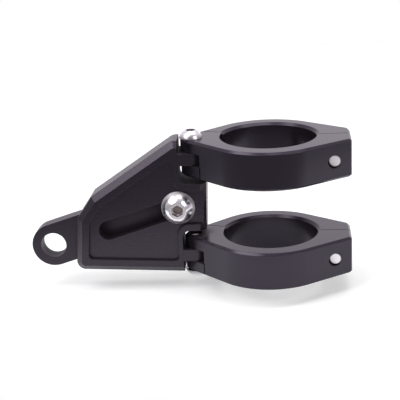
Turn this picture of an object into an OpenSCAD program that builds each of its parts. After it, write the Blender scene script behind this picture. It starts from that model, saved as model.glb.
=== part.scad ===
// Headlight mounting bracket: two split fork clamps hinged to a pocketed side plate,
// with a sliding arm whose eye carries one side of the headlamp.
// Millimetres. Z runs along the fork tube, X from the fork tube to the clamp screws,
// and the open face of the side plate looks along -Y.
// The origin is the middle of the upper clamp's bore.

/* [Fork clamps] */
// Fork tube diameter
fork_d = 43; // [39:0.5:46]
// Wall round the fork tube
clamp_wall = 7.2; // [6.5:0.1:9]
// Height of one clamp
clamp_h = 17; // [14:0.5:20]
// Distance between the two clamps' middles
clamp_pitch = 45; // [42:0.5:60]
// From the bore's wall to the hinge axis
hinge_out = 12.7; // [11.5:0.1:16.5]
// From the bore's wall to the axis of the clamp screw
screw_out = 6.9; // [6:0.1:8]
// From the bore's wall to the free end of a clamp
clamp_end_out = 14.5; // [13.5:0.1:16.5]
// Width of a clamp at its free end
clamp_end_w = 21.2; // [18:0.1:24]
// Corner radius at the free end of a front half
front_corner_r = 1.4; // [1.2:0.1:3]
// Corner radius at the free end of a rear half
rear_corner_r = 3; // [1.5:0.1:4]
// Radius of the rounded hinge end of a clamp
knuckle_r = 4.8; // [4.4:0.1:5.2]
// Edge chamfer round the outside of a clamp
clamp_chamfer = 1; // [0.4:0.1:1.4]
// Chamfer on one end of each half's bore
bore_chamfer = 1.2; // [0.4:0.1:1.8]
// Saw gap between the two halves of a clamp
split_gap = 0.4; // [0.3:0.05:1]
// Height of one hinge ear
ear_h = 5.5; // [4.5:0.1:6]
// From the hinge axis to the end of a clamp's body beside the ears
body_relief = 4.1; // [3:0.1:6]
// How far a half's own ear reaches over the split plane, at the bore
ear_reach_bore = 7.1; // [4:0.1:9]
// How far a half's own ear reaches over the split plane, at the outside
ear_reach_out = 9.6; // [8:0.1:11]

/* [Side plate] */
// Thickness of the plate
plate_t = 14; // [12:0.5:15]
// From the upper clamp's top down to the plate's top
plate_top_drop = 0.3; // [0:0.1:1]
// From the hinge axis to the right edge's upper end
right_top_x = 7.1; // [6:0.1:8]
// From the hinge axis to the right edge's lower end
right_low_x = 4.8; // [4:0.1:6]
// From the hinge axis to the top corner where the long slope starts
slope_top_x = 8.6; // [8:0.1:14]
// From the hinge axis to the lower end of the long slope
slope_low_x = 46; // [43:0.1:48]
// Drop from the plate's top to the lower end of the long slope
slope_drop = 25; // [22:0.1:28]
// From the hinge axis to the left edge's upper end
left_top_x = 53.1; // [51:0.1:55]
// Drop from the plate's top to the left edge's upper end
left_drop = 35.2; // [33:0.1:38]
// From the hinge axis to the left edge's lower end
left_low_x = 55.2; // [53:0.1:57]
// From the lower clamp's underside down to the plate's bottom right corner
plate_bottom_drop = 0.4; // [0:0.1:1]
// Rise of the plate's bottom edge from right to left
bottom_rise = 2.3; // [0:0.1:3]
// Corner radius where the long slope starts
slope_corner_r = 5; // [3.5:0.1:6]
// Corner radius at the bottom left
plate_corner_r = 4; // [3.2:0.1:8]
// Chamfer round the plate's front
plate_chamfer = 2.7; // [1:0.1:3]
// Raised border round the pocket
border_w = 3.1; // [2:0.1:4]
// Raised border beside the notches
notch_border_w = 2; // [1.5:0.1:3]
// Depth of the pocket
pocket_depth = 1.5; // [0.8:0.1:2]
// Corner radius of the pocket
pocket_corner_r = 2; // [1:0.1:3]
// From the hinge axis to the upper notch's inner edge
upper_notch_x = 6.1; // [5.2:0.1:8]
// From the hinge axis to the lower notch's inner edge
lower_notch_x = 5.4; // [5.2:0.1:8]
// Room between the upper clamp and the end of its notch
upper_notch_room = 2.8; // [1.5:0.1:4]
// Room between the lower clamp and the end of its notch
lower_notch_room = 3.3; // [1.5:0.1:4]
// Inner corner radius of a notch
notch_corner_r = 3.5; // [1:0.1:4]
// Room in the clamps round a lug, so that it can swing
lug_room = 0.6; // [0.5:0.1:1]

/* [Sliding arm] */
// Width of the arm
arm_w = 20; // [17:0.1:21]
// Thickness of the arm
arm_t = 7; // [6:0.1:8]
// From the arm screw to the middle of the eye
arm_l = 62.3; // [58:0.1:75]
// Fall of the arm from level, in degrees
arm_angle = 17.7; // [16:0.1:20]
// Hole in the arm's eye
eye_d = 11.7; // [8:0.1:13]
// Arm screw's distance from the hinge axis
arm_screw_x = 6.7; // [6:0.1:9]
// Arm screw's height above the middle between the two clamps
arm_screw_up = 0.1; // [-2:0.1:1]
// How far the arm slides out
arm_travel = 33.5; // [20:0.5:34]
// Width of the slot for the arm screw
slot_w = 9; // [8.6:0.1:10]

/* [Fasteners] */
// Thread of the hinge and clamp screws
small_thread = 6; // [5:0.5:6]
// Thread of the arm screw
arm_thread = 8; // [8:0.1:8.2]
// Head diameter of a hinge screw
hinge_head_d = 10.5; // [9.5:0.1:11]
// Head height of a hinge screw
hinge_head_h = 3.3; // [2.8:0.1:3.6]
// Flat top of a hinge screw's head
hinge_head_top_d = 5.5; // [5:0.1:6]
// Length of a hinge screw under its head
hinge_screw_l = 16; // [15:0.5:16]
// Socket of a hinge screw across its flats
hinge_socket = 4; // [3:0.5:4]
// Depth of a hinge screw's socket
hinge_socket_depth = 2; // [1.5:0.1:2.4]
// Head diameter of a clamp screw
clamp_head_d = 10; // [9:0.1:10]
// Head height of a clamp screw
clamp_head_h = 6; // [5:0.1:6]
// Chamfer round the top of a clamp screw's head
clamp_head_rim = 0.5; // [0.2:0.1:1]
// Length of a clamp screw under its head
clamp_screw_l = 20; // [18:0.5:21]
// From the split plane to the seat of a clamp screw's head
clamp_seat = 6; // [5:0.1:7]
// Socket of a clamp screw across its flats
clamp_socket = 5; // [4:0.5:5]
// Depth of a clamp screw's socket
clamp_socket_depth = 3; // [2:0.1:4]
// Head diameter of the arm screw
arm_head_d = 15.2; // [14:0.1:16]
// Head height of the arm screw
arm_head_h = 5; // [4:0.1:5.5]
// Flat top of the arm screw's head
arm_head_top_d = 7.8; // [7.2:0.1:9]
// Socket of the arm screw across its flats
arm_socket = 5; // [5:0.5:6]
// Depth of the arm screw's socket
arm_socket_depth = 3; // [2:0.1:4]
// How far the arm screw ends inside the arm's rear
arm_screw_short = 0.5; // [0.2:0.1:2]
// Chamfer on the end of each screw
screw_tip = 0.6; // [0.4:0.1:1]

/* [Fits] */
// Room round a thread in its hole
thread_fit = 0.05; // [0.02:0.01:0.08]
// Room round a screw that passes through
pass_fit = 0.2; // [0.15:0.05:0.4]
// Room between a hinge screw and the plate's lug
hinge_fit = 0.05; // [0.02:0.01:0.08]
// Room between faces that slide or turn past each other
face_gap = 0.3; // [0.25:0.05:0.4]

/* [Hidden] */
$fn = 96;
eps = 0.01;
// How far a cutting body runs on past what it cuts.
over = 1;
// A round stands this far proud of the flats that it meets, so that they cross cleanly.
seam = 0.01;
black = "#2b282d";
steel = "#d9d9dc";

// Clamp sizes that follow
hinge_x = fork_d / 2 + hinge_out;
screw_x = fork_d / 2 + screw_out;
clamp_end_x = fork_d / 2 + clamp_end_out;
ring_r = fork_d / 2 + clamp_wall;
half_h = clamp_h / 2;
lug_half = half_h - ear_h - face_gap;
ear_low = half_h - ear_h;
reach = 2 * (hinge_x + clamp_end_x);
hinge_at = [-hinge_x, 0];

// Plate sizes that follow, measured from the hinge axis
plate_top = half_h - plate_top_drop;
plate_bottom = -clamp_pitch - half_h - plate_bottom_drop;
plate_front = -plate_t / 2;
plate_rear = plate_t / 2;
plate_corners = [
    [right_top_x, plate_top],
    [-slope_top_x, plate_top],
    [-slope_low_x, plate_top - slope_drop],
    [-left_top_x, plate_top - left_drop],
    [-left_low_x, plate_bottom + bottom_rise],
    [right_low_x, plate_bottom],
];
// Numbers of the edges that start at the corners of the same numbers
top_edge = 0;
slope_edge = 1;
left_edge = 3;
bottom_edge = 4;
pocket_floor = plate_front + pocket_depth;
pocket_inset = plate_chamfer + border_w;
lug_r = plate_t / 2;
notch_low = -half_h - upper_notch_room;
notch_high = -clamp_pitch + half_h + lower_notch_room;

// Arm sizes that follow
arm_rear = plate_rear;
arm_front = arm_rear - arm_t;
arm_dir = [-cos(arm_angle), -sin(arm_angle)];
arm_screw_at = [-arm_screw_x, -clamp_pitch / 2 + arm_screw_up];
eye_at = arm_screw_at + arm_l * arm_dir;
slot_play = (slot_w - arm_thread) / 2 - face_gap / 2;
slot_start = arm_screw_at - slot_play * arm_dir;
slot_end = arm_screw_at + (arm_travel + slot_play) * arm_dir;

// Direction of a vector in degrees, and the outward normal of the tangent that
// runs from round p of radius rp to round q of radius rq with both on its left.
function heading(v) = atan2(v[1], v[0]);
function tangent_normal(p, rp, q, rq) =
    heading(q - p) - 90 - asin((rq - rp) / norm(q - p));
function at_angle(a) = [cos(a), sin(a)];

// Where two lines cross that have the normal angles a and b and lie d and e from the origin.
function crossing(a, d, b, e) =
    [d * sin(b) - e * sin(a), e * cos(a) - d * cos(b)] / sin(b - a);

// Outward normal angle of a plate edge, and its distance from the hinge axis at height 0.
function edge_angle(i) =
    heading(plate_corners[(i + 1) % len(plate_corners)] - plate_corners[i]) - 90;
function edge_distance(i) = at_angle(edge_angle(i)) * plate_corners[i];

// Upright round post for a body from -h to h with rims chamfered by c. The chamfers run on
// to a tip, and the body's end faces are cut later.
module post(p, r, h, c) {
    translate([p[0], p[1], 0])
        rotate_extrude()
            polygon([[0, c - h - r], [r, c - h], [r, h - c], [0, h - c + r]]);
}

// Everything behind a flat of the given normal angle, with its chamfers run on in the same way.
module behind_flat(a, d, h, c) {
    rotate([0, 0, a])
        rotate([90, 0, 0])
            linear_extrude(height = reach, center = true)
                polygon([[d - reach, c - h - reach], [d, c - h], [d, h - c], [d - reach, h - c + reach]]);
}

// Straight wall between two posts, tangent to both.
module link(p, rp, q, rq, h, c) {
    a = tangent_normal(p, rp, q, rq);
    n = at_angle(a);
    intersection() {
        translate([0, 0, -h - over])
            linear_extrude(height = 2 * (h + over))
                polygon([p - rp / 2 * n, p + (rp + over) * n, q + (rq + over) * n, q - rq / 2 * n]);
        behind_flat(a, n * p + rp - seam, h, c);
    }
}

// Whole clamp before it is bored and split.
module clamp_blank(corner_r) {
    front = [clamp_end_x - corner_r, -clamp_end_w / 2 + corner_r];
    rear = [front[0], -front[1]];
    centre = [0, 0];
    c = clamp_chamfer;
    intersection() {
        union() {
            post(centre, ring_r, half_h, c);
            post(hinge_at, knuckle_r, half_h, c);
            post(front, corner_r, half_h, c);
            post(rear, corner_r, half_h, c);
            link(hinge_at, knuckle_r, centre, ring_r, half_h, c);
            link(centre, ring_r, front, corner_r, half_h, c);
            link(front, corner_r, rear, corner_r, half_h, c);
            link(rear, corner_r, centre, ring_r, half_h, c);
            link(centre, ring_r, hinge_at, knuckle_r, half_h, c);
            translate([0, 0, -clamp_h])
                linear_extrude(height = 2 * clamp_h)
                    polygon([centre, front, rear]);
        }
        cube([2 * reach, 2 * reach, clamp_h], center = true);
    }
}

// Plan of what lies behind a half's own ear, and so belongs to the other half.
// grow moves the border towards the ear.
module beyond_ear(grow) {
    body_end = -hinge_x + body_relief;
    bore_left = -fork_d / 2;
    slope = (ear_reach_out - ear_reach_bore) / (body_end - bore_left);
    inner = bore_left / 2;
    polygon([
        [body_end - grow, reach],
        [body_end - grow, ear_reach_out - grow],
        [bore_left, ear_reach_bore - grow],
        [inner, ear_reach_bore - grow + slope * (inner - bore_left)],
        [inner, -split_gap / 2],
        [reach, -split_gap / 2],
        [reach, reach],
    ]);
}

// One half of a clamp, as the front half stands: its ear is the upper third.
// The rear half is the same part turned over about X.
module clamp_half(corner_r) {
    body_end = -hinge_x + body_relief;
    difference() {
        clamp_blank(corner_r);
        // fork tube, with the lower rim chamfered
        translate([0, 0, -half_h - over])
            cylinder(d = fork_d, h = clamp_h + 2 * over);
        translate([0, 0, -half_h - eps])
            cylinder(r1 = fork_d / 2 + bore_chamfer + eps, r2 = fork_d / 2, h = bore_chamfer + eps);
        // the other half's share, above and below the ear's lower face
        translate([0, 0, ear_low - eps])
            linear_extrude(height = clamp_h)
                beyond_ear(split_gap / 2);
        translate([-reach, -split_gap / 2, -clamp_h])
            cube([2 * reach, reach, clamp_h + ear_low]);
        // the other half's ear, under this half's middle, cut as far as into the bore
        translate([0, 0, -clamp_h - lug_half])
            linear_extrude(height = clamp_h)
                difference() {
                    translate([-reach, -reach])
                        square([reach - fork_d / 3, 2 * reach]);
                    mirror([0, 1])
                        beyond_ear(-split_gap / 2);
                }
        // room for the plate's lug
        translate([-reach, -reach, -clamp_h])
            cube([reach + body_end, 2 * reach, clamp_h + ear_low]);
        translate([-hinge_x, 0, -ear_low])
            cylinder(r = lug_r + lug_room, h = 2 * ear_low);
    }
}

// Hole along Z at the hinge, through an ear that lies above the middle.
module hinge_hole(r) {
    translate([-hinge_x, 0, 0])
        cylinder(r = r, h = clamp_h);
}

// Hole along Y at the clamp screw, towards the outside of the front half.
module clamp_hole(r, start) {
    translate([screw_x, -start, 0])
        rotate([90, 0, 0])
            cylinder(r = r, h = reach);
}

// threaded tells whether the hinge screw threads into this half's ear.
module clamp_front(threaded) {
    color(black)
        difference() {
            clamp_half(front_corner_r);
            clamp_hole(small_thread / 2 + thread_fit, -over);
            hinge_hole(small_thread / 2 + (threaded ? thread_fit : pass_fit));
        }
}

module clamp_rear(threaded) {
    color(black)
        rotate([180, 0, 0])
            difference() {
                clamp_half(rear_corner_r);
                clamp_hole(small_thread / 2 + pass_fit, -over);
                clamp_hole(clamp_head_d / 2 + pass_fit, clamp_seat);
                hinge_hole(small_thread / 2 + (threaded ? thread_fit : pass_fit));
            }
}

// Hexagon socket cut down from the level z.
module hex_socket(flats, z, depth) {
    translate([0, 0, z - depth])
        cylinder(d = flats / cos(30), h = depth + over, $fn = 6);
}

// Domed head on the XY plane, with a flat top.
module domed_head(d, h, top_d) {
    // the ball's centre lies sunk below the seat
    sunk = (d * d / 4 - top_d * top_d / 4 - h * h) / (2 * h);
    ball_r = sqrt(d * d / 4 + sunk * sunk);
    intersection() {
        translate([0, 0, -sunk])
            sphere(r = ball_r);
        cylinder(d = d, h = h);
    }
}

// Screw shank hanging down from the XY plane, with a chamfered end.
module shank(d, l) {
    translate([0, 0, -l])
        rotate_extrude()
            polygon([
                [0, 0], [d / 2 - screw_tip, 0], [d / 2, screw_tip],
                [d / 2, l + eps], [0, l + eps],
            ]);
}

// Hinge screw with its seat on the XY plane and its head up.
module hinge_screw() {
    color(steel)
        difference() {
            union() {
                domed_head(hinge_head_d, hinge_head_h, hinge_head_top_d);
                shank(small_thread, hinge_screw_l);
            }
            hex_socket(hinge_socket, hinge_head_h, hinge_socket_depth);
        }
}

// Clamp screw along Y, seated in the rear half.
module clamp_screw() {
    color(steel)
        translate([screw_x, clamp_seat, 0])
            rotate([-90, 0, 0])
                difference() {
                    union() {
                        rotate_extrude()
                            polygon([
                                [0, 0], [clamp_head_d / 2, 0],
                                [clamp_head_d / 2, clamp_head_h - clamp_head_rim],
                                [clamp_head_d / 2 - clamp_head_rim, clamp_head_h],
                                [0, clamp_head_h],
                            ]);
                        shank(small_thread, clamp_screw_l);
                    }
                    hex_socket(clamp_socket, clamp_head_h, clamp_socket_depth);
                }
}

// Everything behind the plate edge from corner i to the next, with its front chamfered by c,
// moved inwards by inset, between the depths y0 and y1.
module behind_edge(i, inset, y0, y1, c) {
    d = edge_distance(i) - inset;
    rotate([0, -edge_angle(i), 0])
        linear_extrude(height = 2 * reach, center = true)
            polygon([[-reach, y0], [d - c, y0], [d, y0 + c], [d, y1], [-reach, y1]]);
}

// Front view drawn in X and Z, given the depths of its front and rear.
module upright(y0, y1) {
    translate([0, y1, 0])
        rotate([90, 0, 0])
            linear_extrude(height = y1 - y0)
                children();
}

// Cuts off the corner between two edges to the radius r. The first edge has the normal angle a
// and lies d from the hinge axis at height 0, and the next one going left round has b and e.
module corner_cut(a, d, b, e, r, y0, y1, c) {
    round_r = r + seam;
    side = 2 * r;
    centre = crossing(a, d - r, b, e - r);
    translate([centre[0], 0, centre[1]])
        difference() {
            upright(y0 - over, y1 + over)
                polygon([[0, 0], side * at_angle(a), crossing(a, side, b, side), side * at_angle(b)]);
            rotate([-90, 0, 0])
                rotate_extrude()
                    polygon([
                        [0, y0 - 2 * over], [round_r - c, y0 - 2 * over], [round_r - c, y0],
                        [round_r, y0 + c], [round_r, y1 + 2 * over], [0, y1 + 2 * over],
                    ]);
        }
}

// Cuts off the corner between the plate edges i and i + 1, both moved inwards by inset.
module plate_corner_cut(i, inset, r, y0, y1, c) {
    corner_cut(edge_angle(i), edge_distance(i) - inset,
        edge_angle(i + 1), edge_distance(i + 1) - inset, r, y0, y1, c);
}

// Front view of a notch's room, with a rounded inner corner.
// It reaches up and to the right of the corner at x and z.
module notch_view(x, z, r) {
    translate([x, z]) {
        translate([r, 0])
            square([reach, reach]);
        translate([0, r])
            square([reach, reach]);
        translate([r, r])
            circle(r = r + seam);
    }
}

// Both notches, grown by the borders beside and beyond them.
module notch_views(beside, beyond, r) {
    notch_view(-upper_notch_x - beside, notch_low - beyond, r);
    mirror([0, 1])
        notch_view(-lower_notch_x - beside, -notch_high - beyond, r);
}

// Front view of the arm, grown by grow, from the arm screw to l along the arm.
module arm_view(l, grow) {
    r = arm_w / 2 + grow;
    translate(arm_screw_at)
        rotate(heading(arm_dir)) {
            circle(r = r);
            translate([0, seam - r])
                square([l, 2 * (r - seam)]);
            translate([l, 0])
                circle(r = r);
        }
}

// Lug that a clamp's ears close on, before it is bored.
module lug(z, notch_x) {
    translate([0, 0, z - lug_half]) {
        cylinder(r = lug_r, h = 2 * lug_half);
        translate([-notch_x - over, seam - lug_r, 0])
            cube([notch_x + over, 2 * (lug_r - seam), 2 * lug_half]);
    }
}

module lug_bore(z) {
    translate([0, 0, z - lug_half - over])
        cylinder(r = small_thread / 2 + hinge_fit, h = 2 * (lug_half + over));
}

// Pocket in the plate's front. It is open to the right.
module pocket() {
    y0 = plate_front - over;
    difference() {
        intersection_for(i = [top_edge : bottom_edge])
            behind_edge(i, pocket_inset, y0, pocket_floor, 0);
        upright(y0 - over, pocket_floor + over)
            notch_views(notch_border_w, border_w, notch_corner_r + notch_border_w);
        plate_corner_cut(left_edge, pocket_inset, pocket_corner_r, y0, pocket_floor, 0);
        corner_cut(edge_angle(bottom_edge), edge_distance(bottom_edge) - pocket_inset,
            0, -lower_notch_x - notch_border_w, pocket_corner_r, y0, pocket_floor, 0);
        corner_cut(0, -upper_notch_x - notch_border_w,
            edge_angle(slope_edge), edge_distance(slope_edge) - pocket_inset,
            pocket_corner_r, y0, pocket_floor, 0);
    }
}

module side_plate() {
    color(black)
        translate([-hinge_x, 0, 0])
            difference() {
                union() {
                    difference() {
                        intersection_for(i = [0 : len(plate_corners) - 1])
                            behind_edge(i, 0, plate_front, plate_rear, plate_chamfer);
                        upright(plate_front - over, plate_rear + over)
                            notch_views(0, 0, notch_corner_r);
                        plate_corner_cut(top_edge, 0, slope_corner_r, plate_front, plate_rear, plate_chamfer);
                        plate_corner_cut(left_edge, 0, plate_corner_r, plate_front, plate_rear, plate_chamfer);
                    }
                    lug(0, upper_notch_x);
                    lug(-clamp_pitch, lower_notch_x);
                }
                pocket();
                // slot for the arm screw
                upright(plate_front - over, plate_rear + over)
                    union() {
                        translate(slot_start)
                            circle(d = slot_w);
                        translate(slot_end)
                            circle(d = slot_w);
                        translate(slot_start)
                            rotate(heading(arm_dir))
                                translate([0, seam - slot_w / 2])
                                    square([norm(slot_end - slot_start), slot_w - 2 * seam]);
                    }
                // channel that guides the arm, open to the rear and to the left
                upright(arm_front - face_gap, plate_rear + over)
                    arm_view(arm_l + reach, face_gap);
                lug_bore(0);
                lug_bore(-clamp_pitch);
            }
}

module slide_arm() {
    color(black)
        translate([-hinge_x, 0, 0])
            difference() {
                upright(arm_front, arm_rear)
                    arm_view(arm_l, 0);
                upright(arm_front - over, arm_rear + over) {
                    translate(arm_screw_at)
                        circle(d = arm_thread + 2 * thread_fit);
                    translate(eye_at)
                        circle(d = eye_d);
                }
            }
}

module arm_screw() {
    seat = pocket_floor - face_gap;
    color(steel)
        translate([-hinge_x + arm_screw_at[0], seat, arm_screw_at[1]])
            rotate([90, 0, 0])
                difference() {
                    union() {
                        domed_head(arm_head_d, arm_head_h, arm_head_top_d);
                        shank(arm_thread, arm_rear - seat - arm_screw_short);
                    }
                    // turned so that one corner points down
                    rotate([0, 0, 30])
                        hex_socket(arm_socket, arm_head_h, arm_socket_depth);
                }
}

module upper_clamp_front() clamp_front(false);

module upper_clamp_rear() clamp_rear(true);

module upper_clamp_screw() clamp_screw();

module upper_hinge_screw() {
    translate([-hinge_x, 0, half_h])
        hinge_screw();
}

module lower_clamp_front() {
    translate([0, 0, -clamp_pitch])
        clamp_front(true);
}

module lower_clamp_rear() {
    translate([0, 0, -clamp_pitch])
        clamp_rear(false);
}

module lower_clamp_screw() {
    translate([0, 0, -clamp_pitch])
        clamp_screw();
}

module lower_hinge_screw() {
    translate([-hinge_x, 0, -clamp_pitch - half_h])
        rotate([180, 0, 0])
            hinge_screw();
}

side_plate();
slide_arm();
arm_screw();
upper_clamp_front();
upper_clamp_rear();
upper_hinge_screw();
upper_clamp_screw();
lower_clamp_front();
lower_clamp_rear();
lower_hinge_screw();
lower_clamp_screw();
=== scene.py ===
import bpy
import bmesh
import math
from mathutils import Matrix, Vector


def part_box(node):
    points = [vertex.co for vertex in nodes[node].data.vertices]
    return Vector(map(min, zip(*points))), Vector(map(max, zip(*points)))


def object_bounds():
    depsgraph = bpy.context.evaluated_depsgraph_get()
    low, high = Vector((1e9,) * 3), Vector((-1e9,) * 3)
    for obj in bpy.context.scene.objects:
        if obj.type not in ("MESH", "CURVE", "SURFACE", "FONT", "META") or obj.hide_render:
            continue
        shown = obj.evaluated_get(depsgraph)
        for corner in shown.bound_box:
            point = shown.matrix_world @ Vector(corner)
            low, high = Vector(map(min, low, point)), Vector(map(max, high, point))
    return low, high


# Headlight mounting bracket in a pale studio: two fork clamps hinged on a pocketed
# side plate, and a sliding arm with the lamp's eye. Everything is in metres.

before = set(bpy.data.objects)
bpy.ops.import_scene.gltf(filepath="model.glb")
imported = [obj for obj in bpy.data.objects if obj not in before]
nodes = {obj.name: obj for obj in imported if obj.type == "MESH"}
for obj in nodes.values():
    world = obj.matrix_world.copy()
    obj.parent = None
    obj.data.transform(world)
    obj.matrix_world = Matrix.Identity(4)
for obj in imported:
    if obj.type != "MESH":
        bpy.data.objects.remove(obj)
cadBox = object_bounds()
scene = bpy.context.scene


# Node tree helpers

# A socket takes a number or a colour, or is linked to what another node puts out
def feed(tree, socket, value):
    if isinstance(value, bpy.types.NodeSocket):
        tree.links.new(value, socket)
    elif socket.type == "RGBA":
        socket.default_value = (*value, 1)
    else:
        socket.default_value = value


def addNode(tree, kind, place, inputs=None, **settings):
    node = tree.nodes.new(kind)
    node.location = place
    for key, value in settings.items():
        setattr(node, key, value)
    for label, value in (inputs or {}).items():
        feed(tree, node.inputs[label], value)
    return node


def addMath(tree, place, operation, first, second, **settings):
    node = addNode(tree, "ShaderNodeMath", place, {0: first, 1: second}, operation=operation, **settings)
    return node.outputs["Value"]


def addVectorMath(tree, place, operation, *vectors, result="Vector"):
    inputs = dict(enumerate(vectors))
    return addNode(tree, "ShaderNodeVectorMath", place, inputs, operation=operation).outputs[result]


# The share is 0 where only the first shows, and 1 where only the second does
def mixNumbers(tree, place, share, first, second):
    inputs = {"Factor": share, "A": first, "B": second}
    return addNode(tree, "ShaderNodeMix", place, inputs, data_type="FLOAT").outputs["Result"]


def mixColours(tree, place, share, first, second):
    inputs = {"Factor": share, "A": first, "B": second}
    return addNode(tree, "ShaderNodeMix", place, inputs, data_type="RGBA").outputs["Result"]


def mapRange(tree, place, value, fromSpan=(0, 1), toSpan=(0, 1), **settings):
    inputs = {"Value": value, "From Min": fromSpan[0], "From Max": fromSpan[1],
              "To Min": toSpan[0], "To Max": toSpan[1]}
    return addNode(tree, "ShaderNodeMapRange", place, inputs, **settings).outputs["Result"]


def addNoise(tree, place, coordinates, scale, detail, roughness):
    inputs = {"Vector": coordinates, "Scale": scale, "Detail": detail, "Roughness": roughness}
    return addNode(tree, "ShaderNodeTexNoise", place, inputs, noise_dimensions="3D").outputs["Fac"]


def startGroup(name, inputs, outputs):
    tree = bpy.data.node_groups.new(name, "ShaderNodeTree")
    for label, kind, value in inputs:
        socket = tree.interface.new_socket(name=label, in_out="INPUT", socket_type=kind)
        socket.default_value = value
    for label, kind in outputs:
        tree.interface.new_socket(name=label, in_out="OUTPUT", socket_type=kind)
    given = addNode(tree, "NodeGroupInput", (-900, 0)).outputs
    results = addNode(tree, "NodeGroupOutput", (700, 0)).inputs
    return tree, given, results


def placeGroup(tree, group, place, **values):
    return addNode(tree, "ShaderNodeGroup", place, values, node_tree=group).outputs


def startMaterial(name):
    material = bpy.data.materials.new(name)
    material.use_nodes = True
    tree = material.node_tree
    tree.nodes.clear()
    surface = addNode(tree, "ShaderNodeBsdfPrincipled", (300, 0))
    addNode(tree, "ShaderNodeOutputMaterial", (620, 0), {"Surface": surface.outputs["BSDF"]})
    return material, tree, surface


# Shared effects

numberSocket = "NodeSocketFloat"
vectorSocket = "NodeSocketVector"


# Satin skin: fine grain for the bump, soft cloudy patches, and faint brush strokes along X
def makeSatinSkin():
    tree, given, results = startGroup(
        "satinSkin",
        [("grainSize", numberSocket, 2600.0), ("cloudSize", numberSocket, 45.0),
         ("strokeSize", numberSocket, 35.0), ("strokeStretch", vectorSocket, (1, 60, 60))],
        [("grain", numberSocket), ("cloud", numberSocket), ("stroke", numberSocket)],
    )
    onPiece = addNode(tree, "ShaderNodeTexCoord", (-900, 260)).outputs["Object"]
    alongX = addVectorMath(tree, (-700, -460), "MULTIPLY", onPiece, given["strokeStretch"])
    grain = addNoise(tree, (-500, 160), onPiece, given["grainSize"], detail=3.0, roughness=0.7)
    cloud = addNoise(tree, (-500, -160), onPiece, given["cloudSize"], detail=4.0, roughness=0.55)
    stroke = addNoise(tree, (-500, -460), alongX, given["strokeSize"], detail=3.0, roughness=0.6)
    feed(tree, results["grain"], grain)
    feed(tree, results["cloud"], cloud)
    feed(tree, results["stroke"], stroke)
    return tree


# Rounded edges: the turned normal, and a mask of the edge itself. Joins that turn the
# normal by less than the start stay out of the mask
def makeEdgeBreak():
    tree, given, results = startGroup(
        "edgeBreak",
        [("radius", numberSocket, 0.0002), ("reach", numberSocket, 6.0),
         ("start", numberSocket, 0.02)],
        [("normal", vectorSocket), ("edge", numberSocket)],
    )
    bevel = addNode(tree, "ShaderNodeBevel", (-600, 120), {"Radius": given["radius"]}, samples=6)
    rounded = bevel.outputs["Normal"]
    flat = addNode(tree, "ShaderNodeNewGeometry", (-600, -120)).outputs["Normal"]
    match = addVectorMath(tree, (-380, 0), "DOT_PRODUCT", rounded, flat, result="Value")
    turn = addMath(tree, (-180, 0), "SUBTRACT", 1.0, match)
    sharp = addMath(tree, (-80, -160), "SUBTRACT", turn, given["start"])
    edge = addMath(tree, (20, 0), "MULTIPLY", sharp, given["reach"], use_clamp=True)
    feed(tree, results["normal"], rounded)
    feed(tree, results["edge"], edge)
    return tree


# Tight recesses, found by ambient occlusion: 1 deep inside them, 0 in the open. The blasting hardly
# reaches them, so they are duller, and painted shade darkens their colour
def makeRecessOcclusion():
    tree, given, results = startGroup(
        "recessOcclusion",
        [("depth", numberSocket, 0.014), ("open", numberSocket, 0.75),
         ("closed", numberSocket, 0.3)],
        [("recessOcclusion", numberSocket)],
    )
    around = addNode(tree, "ShaderNodeAmbientOcclusion", (-400, 0), {"Distance": given["depth"]},
                     samples=8)
    mask = mapRange(tree, (-100, 0), around.outputs["AO"], (given["open"], given["closed"]),
                    interpolation_type="SMOOTHSTEP")
    feed(tree, results["recessOcclusion"], mask)
    return tree


# Turning marks: fine rings round the screw's own axis, from its distance to that axis
def makeTurnedRings():
    tree, given, results = startGroup(
        "turnedRings",
        [("centre", vectorSocket, (0, 0, 0)), ("across", vectorSocket, (1, 1, 0)),
         ("ringsPerMetre", numberSocket, 5000.0)],
        [("rings", numberSocket), ("radius", numberSocket)],
    )
    onPiece = addNode(tree, "ShaderNodeTexCoord", (-900, 260)).outputs["Object"]
    away = addVectorMath(tree, (-680, 120), "SUBTRACT", onPiece, given["centre"])
    square = addVectorMath(tree, (-480, 120), "MULTIPLY", away, given["across"])
    radius = addVectorMath(tree, (-280, 120), "LENGTH", square, result="Value")
    count = addMath(tree, (-80, 120), "MULTIPLY", radius, given["ringsPerMetre"])
    wave = addNode(tree, "ShaderNodeTexNoise", (140, 120), noise_dimensions="1D")
    feed(tree, wave.inputs["W"], count)
    feed(tree, wave.inputs["Scale"], 1.0)
    feed(tree, wave.inputs["Detail"], 2.0)
    feed(tree, results["rings"], wave.outputs["Fac"])
    feed(tree, results["radius"], radius)
    return tree


satinSkin = makeSatinSkin()
edgeBreak = makeEdgeBreak()
recessOcclusion = makeRecessOcclusion()
turnedRings = makeTurnedRings()
print("shared effects made")


# Fine relief all over, on top of the normal that rounds the edges
def addRelief(tree, surface, height, normal, strength, depth):
    inputs = {"Strength": strength, "Distance": depth, "Height": height, "Normal": normal}
    bump = addNode(tree, "ShaderNodeBump", (0, -260), inputs)
    feed(tree, surface.inputs["Normal"], bump.outputs["Normal"])
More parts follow.
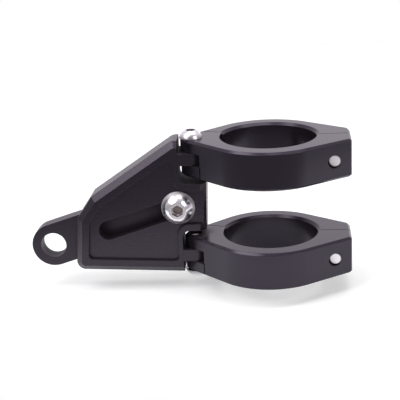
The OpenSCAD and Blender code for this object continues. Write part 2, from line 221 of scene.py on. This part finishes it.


# Black anodised aluminium: brushed patches, a painted highlight on the edges, and dull recesses darkened
# by painted shade
def anodised(look):
    material, tree, surface = startMaterial(look["name"])
    skin = placeGroup(tree, satinSkin, (-900, 100),
                      grainSize=look["grainSize"], cloudSize=look["cloudSize"])
    edges = placeGroup(tree, edgeBreak, (-900, -220),
                       radius=look["edgeRadius"], reach=look["edgeReach"])
    occluded = placeGroup(tree, recessOcclusion, (-900, -480), depth=look["recessDepth"])["recessOcclusion"]
    brushed = mixNumbers(tree, (-660, 100), look["strokeShare"], skin["cloud"], skin["stroke"])

    patch = mixColours(tree, (-500, 260), brushed, look["colour"], look["cloudColour"])
    # Painted highlight: the edge mask paints the rounded edges lighter
    paintedEdgeHighlight = mixColours(tree, (-260, 260), edges["edge"], patch, look["edgeHighlightColour"])
    # Painted shade: the occlusion mask paints the recesses darker
    paintedRecessShade = mixColours(tree, (-40, 260), occluded, paintedEdgeHighlight, look["recessShadeColour"])
    feed(tree, surface.inputs["Base Color"], paintedRecessShade)

    roughSpan = (look["roughness"] - look["roughSpread"], look["roughness"] + look["roughSpread"])
    gloss = mapRange(tree, (-260, 40), brushed, toSpan=roughSpan)
    dull = mixNumbers(tree, (-40, 40), occluded, gloss, look["recessRoughness"])
    feed(tree, surface.inputs["Roughness"], dull)

    height = mixNumbers(tree, (-260, -300), look["strokeShare"], skin["grain"], skin["stroke"])
    addRelief(tree, surface, height, edges["normal"], look["grainStrength"], look["grainDepth"])

    feed(tree, surface.inputs["Metallic"], look["metallic"])
    feed(tree, surface.inputs["IOR"], look["ior"])
    feed(tree, surface.inputs["Specular Tint"], look["glossTint"])
    return material


# Polished or turned stainless steel: painted shade in the socket at the axis, turned rings round it,
# and from rimFrom outwards a rim of its own roughness, with a painted highlight or painted shade in its
# tone, as each look gives
def stainless(look):
    material, tree, surface = startMaterial(look["name"])
    turned = placeGroup(tree, turnedRings, (-900, 100), centre=look["centre"],
                        across=look["across"], ringsPerMetre=look["ringsPerMetre"])
    edges = placeGroup(tree, edgeBreak, (-900, -220), radius=look["edgeRadius"])
    rim = mapRange(tree, (-560, 480), turned["radius"], (look["rimFrom"], look["rimTo"]))
    core = mapRange(tree, (-560, 760), turned["radius"], (look["socketTo"], look["socketFrom"]))

    tone = mixColours(tree, (-400, 260), turned["rings"], look["colour"], look["ringColour"])
    # Painted light and shade on the rim: a slight painted highlight on the dome, a painted dark ring on
    # the other screws
    paintedRimTone = mixColours(tree, (-180, 360), rim, tone, look["rimPaintedColour"])
    # Painted shade in the socket
    paintedSocketShade = mixColours(tree, (20, 420), core, paintedRimTone, look["socketShadeColour"])
    feed(tree, surface.inputs["Base Color"], paintedSocketShade)

    roughSpan = (look["roughness"], look["roughness"] + look["roughSpread"])
    gloss = mapRange(tree, (-400, 20), turned["rings"], toSpan=roughSpan)
    flank = mixNumbers(tree, (-180, 20), rim, gloss, look["rimRoughness"])
    feed(tree, surface.inputs["Roughness"], flank)

    addRelief(tree, surface, turned["rings"], edges["normal"], look["ringStrength"], look["ringDepth"])

    feed(tree, surface.inputs["Metallic"], 1.0)
    return material


# A material for each piece, and clean shading where its curves run into flats
def dress(names, material):
    for name in names:
        mesh = nodes[name].data
        mesh.materials.clear()
        mesh.materials.append(material)
        even = nodes[name].modifiers.new("evenNormals", "WEIGHTED_NORMAL")
        even.mode = "FACE_AREA"


# Side plate
plateLook = {
    "name": "plateAnodised",
    "colour": (0.006, 0.0045, 0.0072),
    "cloudColour": (0.0125, 0.0097, 0.015),
    # Painted highlight on the edges
    "edgeHighlightColour": (0.034, 0.029, 0.038),
    "roughness": 0.27,
    "roughSpread": 0.06,
    "strokeShare": 0.6,
    "metallic": 0.0,
    "ior": 1.5,
    "glossTint": (0.93, 0.81, 1.0),
    "grainSize": 2600.0,
    "grainStrength": 0.25,
    "grainDepth": 0.00002,
    "cloudSize": 38.0,
    "edgeRadius": 0.00022,
    "edgeReach": 3.0,
    "recessDepth": 0.014,
    # Painted shade in the recesses
    "recessShadeColour": (0.004, 0.0034, 0.0045),
    "recessRoughness": 0.85,
}
dress(["side_plate"], anodised(plateLook))
print("side plate dressed")

# Fork clamps
clampLook = {
    **plateLook,
    "name": "clampAnodised",
    "cloudSize": 30.0,
    "roughness": 0.22,
    "ior": 1.52,
    "glossTint": (0.89, 0.79, 1.0),
    "recessDepth": 0.028,
}
clampHalves = ["upper_clamp_front", "upper_clamp_rear", "lower_clamp_front", "lower_clamp_rear"]
dress(clampHalves, anodised(clampLook))
print("clamps dressed")

# Sliding arm
armLook = {
    **plateLook,
    "name": "armAnodised",
    "cloudSize": 34.0,
    "roughness": 0.33,
}
dress(["slide_arm"], anodised(armLook))
print("arm dressed")


# Centre of a screw from its box, for the turning marks
def middleOf(name):
    low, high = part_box(name)
    return tuple((low + high) / 2)


# Domed screw of the arm. The rim and the socket are given by their distance from the axis
domeLook = {
    "name": "domePolished",
    "colour": (0.92, 0.9, 0.93),
    "ringColour": (0.84, 0.82, 0.85),
    # Painted highlight: the rim a little lighter than the dome
    "rimPaintedColour": (0.95, 0.92, 0.95),
    "rimRoughness": 0.6,
    "rimFrom": 0.0062,
    "rimTo": 0.0074,
    # Painted shade in the socket
    "socketShadeColour": (0.27, 0.225, 0.21),
    "socketFrom": 0.0023,
    "socketTo": 0.0027,
    "roughness": 0.17,
    "roughSpread": 0.05,
    "ringsPerMetre": 5200.0,
    "ringStrength": 0.12,
    "ringDepth": 0.00001,
    "edgeRadius": 0.00025,
    "centre": middleOf("arm_screw"),
    "across": (1, 0, 1),
}
dress(["arm_screw"], stainless(domeLook))

# Hinge screws
hingeLook = {
    **domeLook,
    "roughness": 0.14,
    # Painted shade: a dark ring round the head
    "rimPaintedColour": (0.34, 0.32, 0.34),
    "rimRoughness": 0.3,
    "rimFrom": 0.0042,
    "rimTo": 0.0052,
    "socketFrom": 0.0018,
    "socketTo": 0.0022,
    "across": (1, 1, 0),
}
for side in ("upper", "lower"):
    name = side + "_hinge_screw"
    look = {**hingeLook, "name": side + "HingePolished", "centre": middleOf(name)}
    dress([name], stainless(look))

# Clamp screws, whose turned ends show in the front halves
clampScrewLook = {
    **domeLook,
    "colour": (0.95, 0.92, 0.95),
    "ringColour": (0.84, 0.81, 0.84),
    # Painted shadow: a dark ring round the turned end, where it sits in its hole
    "rimPaintedColour": (0.08, 0.075, 0.08),
    "rimFrom": 0.0021,
    "rimTo": 0.0026,
    "socketFrom": -0.002,  # below 0, because the end that shows has no socket
    "socketTo": -0.001,
    "roughness": 0.5,
    "roughSpread": 0.1,
    "ringsPerMetre": 3800.0,
    "ringStrength": 0.35,
}
for side in ("upper", "lower"):
    name = side + "_clamp_screw"
    look = {**clampScrewLook, "name": side + "ClampScrewTurned", "centre": middleOf(name)}
    dress([name], stainless(look))
print("screws dressed")


# Floor: a round white table, whose front edge is a hand's width before the bracket
floorLook = {
    "level": cadBox[0].z - 0.0052,  # the eye clears it when the arm is slid out
    "middle": (0.08, 0.235),
    "radius": 0.36,
    "segments": 96,
    "colour": (0.8, 0.8, 0.81),
    "roughness": 0.9,
    "specular": 0.1,
    "liftColour": (1, 1, 1),
    "lift": 0.32,
}


def makeFloor(look):
    mesh = bpy.data.meshes.new("floor")
    form = bmesh.new()
    bmesh.ops.create_circle(form, cap_ends=True, segments=look["segments"], radius=look["radius"])
    form.to_mesh(mesh)
    form.free()
    floor = bpy.data.objects.new("floor", mesh)
    floor.location = (*look["middle"], look["level"])
    scene.collection.objects.link(floor)
    material, tree, surface = startMaterial("floorPaper")
    # Only the camera and what the metal mirrors see the lift, so it lights nothing
    ray = addNode(tree, "ShaderNodeLightPath", (-500, -200)).outputs
    seen = addMath(tree, (-260, -200), "MAXIMUM", ray["Is Camera Ray"], ray["Is Glossy Ray"])
    lift = addMath(tree, (-60, -200), "MULTIPLY", seen, look["lift"])
    feed(tree, surface.inputs["Base Color"], look["colour"])
    feed(tree, surface.inputs["Roughness"], look["roughness"])
    feed(tree, surface.inputs["Specular IOR Level"], look["specular"])
    feed(tree, surface.inputs["Emission Color"], look["liftColour"])
    feed(tree, surface.inputs["Emission Strength"], lift)
    mesh.materials.append(material)


makeFloor(floorLook)
print("floor laid")


# World: white where the camera sees it. What the metal mirrors is white behind and above,
# and falls off to a dim room in front.
skyLook = {
    "seen": 1.0,
    "light": 0.42,
    "plainColour": (1, 1, 1),
    "mirroredColour": (0.98, 0.925, 1.0),
    "mirroredHigh": 0.85,
    "mirroredLow": 0.38,
    "towards": (0.0, 0.75, 0.66),
    "fadeFrom": -0.3,
    "fadeTo": 0.7,
}


def makeSky(look):
    world = bpy.data.worlds.new("studio")
    scene.world = world
    world.use_nodes = True
    tree = world.node_tree
    tree.nodes.clear()
    direction = addNode(tree, "ShaderNodeTexCoord", (-1100, -200)).outputs["Generated"]
    ray = addNode(tree, "ShaderNodeLightPath", (-1100, 200)).outputs
    along = addVectorMath(tree, (-900, -200), "DOT_PRODUCT", direction, look["towards"], result="Value")
    room = mapRange(tree, (-700, -200), along, (look["fadeFrom"], look["fadeTo"]),
                    (look["mirroredLow"], look["mirroredHigh"]), interpolation_type="SMOOTHSTEP")
    shiny = addMath(tree, (-700, 60), "MAXIMUM", ray["Is Glossy Ray"], ray["Is Transmission Ray"])
    mirrored = mixNumbers(tree, (-460, 0), shiny, look["light"], room)
    level = mixNumbers(tree, (-220, 0), ray["Is Camera Ray"], mirrored, look["seen"])
    tint = mixColours(tree, (-220, 240), shiny, look["plainColour"], look["mirroredColour"])
    back = addNode(tree, "ShaderNodeBackground", (0, 0), {"Color": tint, "Strength": level})
    addNode(tree, "ShaderNodeOutputWorld", (200, 0), {"Surface": back.outputs["Background"]})


makeSky(skyLook)
print("sky made")

# Soft boxes, which all point at the middle of the bracket: place, size and power
lampLook = {
    "keyBox": {"place": (-0.5, -0.3, 0.62), "size": (0.6, 0.6), "power": 4.2},
    "fillBox": {"place": (0.5, -0.4, 0.35), "size": (0.4, 0.4), "power": 1.5},
    "topBox": {"place": (0.1, 0.1, 0.8), "size": (0.6, 0.6), "power": 3.0},
    "rearSheet": {"place": (0.05, 0.6, 0.2), "size": (0.9, 0.25), "power": 0.2,
                  "colour": (0.95, 0.88, 1.0)},
}
middle = (cadBox[0] + cadBox[1]) / 2


def makeLamp(name, look, target):
    light = bpy.data.lights.new(name, "AREA")
    light.shape = "RECTANGLE"
    light.size, light.size_y = look["size"]
    light.energy = look["power"]
    light.color = look.get("colour", (1, 1, 1))
    lamp = bpy.data.objects.new(name, light)
    lamp.location = look["place"]
    lamp.rotation_mode = "QUATERNION"
    lamp.rotation_quaternion = (target - lamp.location).to_track_quat("-Z", "Y")
    scene.collection.objects.link(lamp)


for lampName, look in lampLook.items():
    makeLamp(lampName, look, middle)
print("lights set")

# Camera at the photograph's angle
cameraLook = {
    "place": (0.0072656, -0.4549827, 0.1326093),
    "turn": (71.38957, 2.69516, 3.95722),  # degrees
    "lens": 96.07,  # millimetres, like the sensor
    "sensor": 36.0,
    "clip": (0.01, 20.0),
}


def makeCamera(look):
    data = bpy.data.cameras.new("photoCamera")
    data.sensor_width = look["sensor"]
    data.lens = look["lens"]
    data.clip_start, data.clip_end = look["clip"]
    camera = bpy.data.objects.new("photoCamera", data)
    camera.location = look["place"]
    camera.rotation_euler = [math.radians(angle) for angle in look["turn"]]
    scene.collection.objects.link(camera)
    scene.camera = camera


makeCamera(cameraLook)
scene.view_settings.view_transform = "Standard"
print("camera set")
